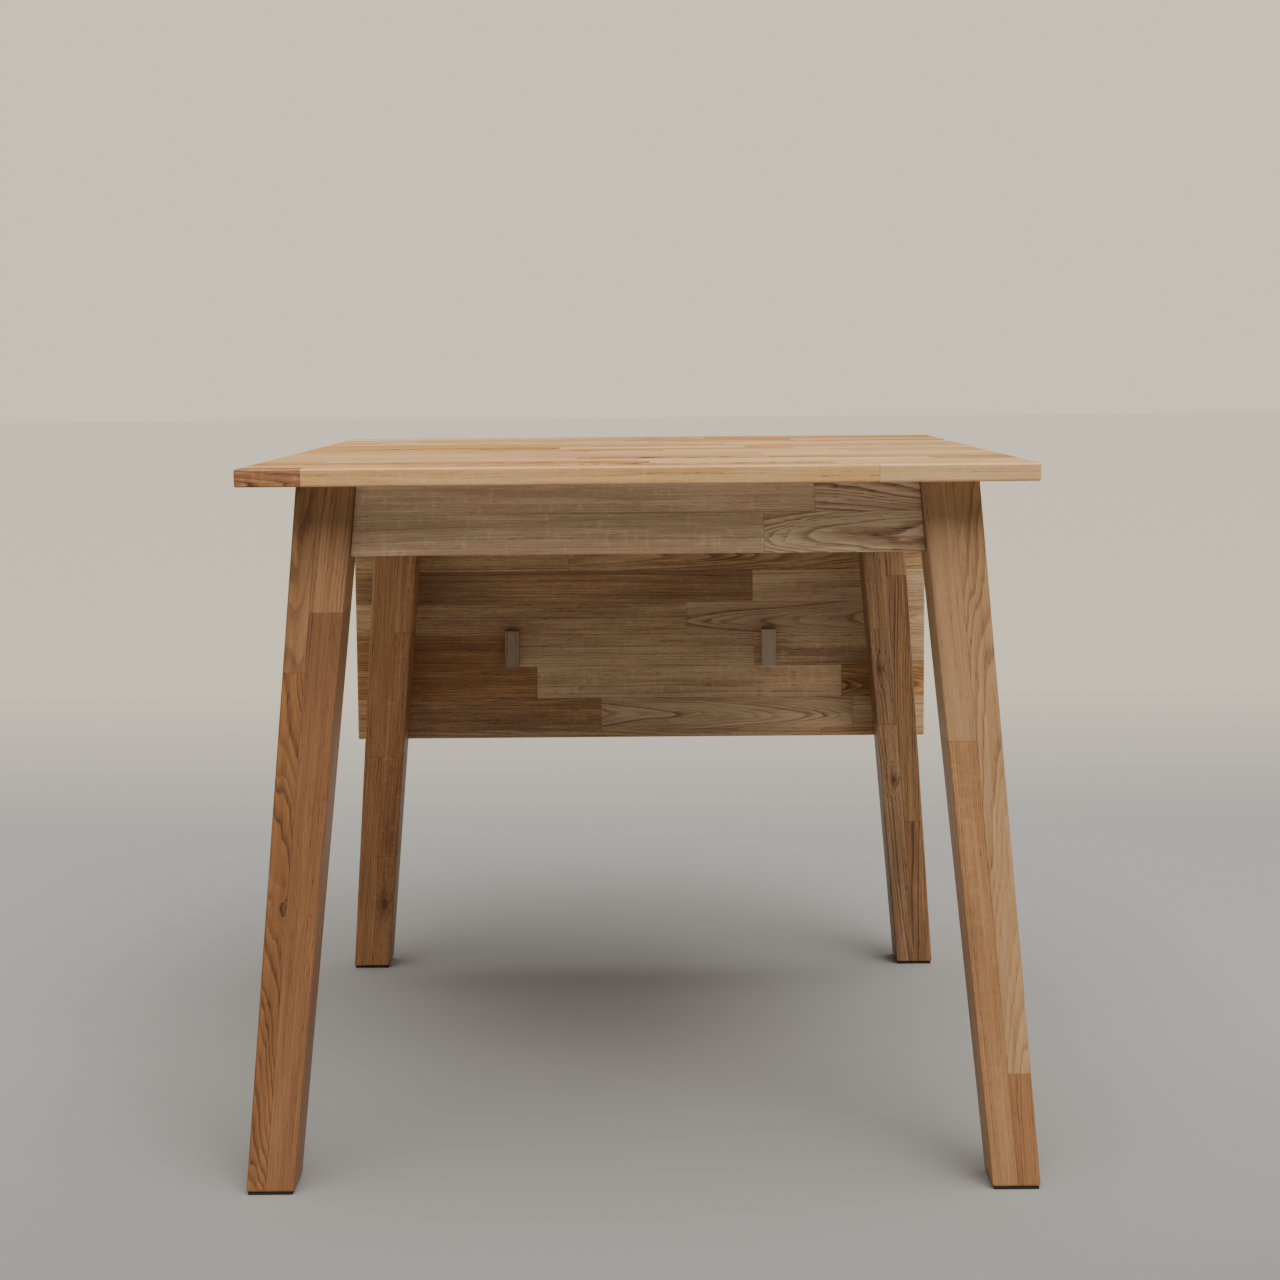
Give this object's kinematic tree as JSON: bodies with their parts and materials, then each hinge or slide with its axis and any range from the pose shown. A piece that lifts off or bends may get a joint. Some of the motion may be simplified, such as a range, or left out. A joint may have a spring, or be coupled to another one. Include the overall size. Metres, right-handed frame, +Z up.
{
  "type": "drop leaf table",
  "caption": "Square oak table with tapered, splayed legs and a hinged leaf that hangs behind it; pull-out supports under the top carry the raised leaf.",
  "frame": {"origin": "on the floor, at the middle of the overall size with the leaf hanging", "axes": "+Z up, +Y towards the hanging leaf, X along the hinge line; the table is symmetric about X = 0"},
  "size_m": [0.823, 0.8336, 0.75],
  "materials": {
    "oiled_oak_top": "oiled, satin",
    "oiled_oak_frame": "oiled, satin",
    "raw_oak": "unfinished",
    "beech": "planed, unfinished",
    "zinc_steel": "zinc-plated",
    "dark_felt": "pressed felt"
  },
  "bodies": {
    "table_frame": {"bracket_front_left": "zinc_steel", "bracket_front_right": "zinc_steel", "bracket_left": "zinc_steel", "bracket_rear_left": "zinc_steel", "bracket_rear_right": "zinc_steel", "bracket_right": "zinc_steel", "corner_block_front_left": "beech", "corner_block_front_right": "beech", "corner_block_rear_left": "beech", "corner_block_rear_right": "beech", "cross_rail": "beech", "fixed_top": "oiled_oak_top", "flange_nut_front_left": "zinc_steel", "flange_nut_front_right": "zinc_steel", "flange_nut_rear_left": "zinc_steel", "flange_nut_rear_right": "zinc_steel", "foot_pad_front_left": "dark_felt", "foot_pad_front_right": "dark_felt", "foot_pad_rear_left": "dark_felt", "foot_pad_rear_right": "dark_felt", "front_apron": "oiled_oak_frame", "hanger_bolt_front_left": "zinc_steel", "hanger_bolt_front_right": "zinc_steel", "hanger_bolt_rear_left": "zinc_steel", "hanger_bolt_rear_right": "zinc_steel", "left_apron": "oiled_oak_frame", "left_hinge_pin": "zinc_steel", "left_hinge_table_plate": "zinc_steel", "left_hinge_table_screw_1": "zinc_steel", "left_hinge_table_screw_2": "zinc_steel", "left_hinge_table_screw_3": "zinc_steel", "leg_front_left": "oiled_oak_frame", "leg_front_right": "oiled_oak_frame", "leg_rear_left": "oiled_oak_frame", "leg_rear_right": "oiled_oak_frame", "rear_apron": "oiled_oak_frame", "right_apron": "oiled_oak_frame", "right_hinge_pin": "zinc_steel", "right_hinge_table_plate": "zinc_steel", "right_hinge_table_screw_1": "zinc_steel", "right_hinge_table_screw_2": "zinc_steel", "right_hinge_table_screw_3": "zinc_steel"},
    "leaf": {"drop_leaf": "oiled_oak_top", "left_hinge_leaf_plate": "zinc_steel", "left_hinge_leaf_screw_1": "zinc_steel", "left_hinge_leaf_screw_2": "zinc_steel", "left_hinge_leaf_screw_3": "zinc_steel", "left_stop_block": "raw_oak", "right_hinge_leaf_plate": "zinc_steel", "right_hinge_leaf_screw_1": "zinc_steel", "right_hinge_leaf_screw_2": "zinc_steel", "right_hinge_leaf_screw_3": "zinc_steel", "right_stop_block": "raw_oak"},
    "left_support": {"left_loper": "oiled_oak_frame", "left_loper_stop": "beech"},
    "right_support": {"right_loper": "oiled_oak_frame", "right_loper_stop": "beech"}
  },
  "joints": [
    {"name": "leaf_hinge", "type": "hinge", "parent": "table_frame", "child": "leaf", "pos_m": [0, 0.39519, 0.7282], "axis": [1, 0, 0], "range_deg": [0, 92.91]},
    {"name": "left_support_slide", "type": "slide", "parent": "table_frame", "child": "left_support", "axis": [0, 1, 0], "range_m": [0, 0.05]},
    {"name": "right_support_slide", "type": "slide", "parent": "table_frame", "child": "right_support", "axis": [0, 1, 0], "range_m": [0, 0.05]}
  ]
}
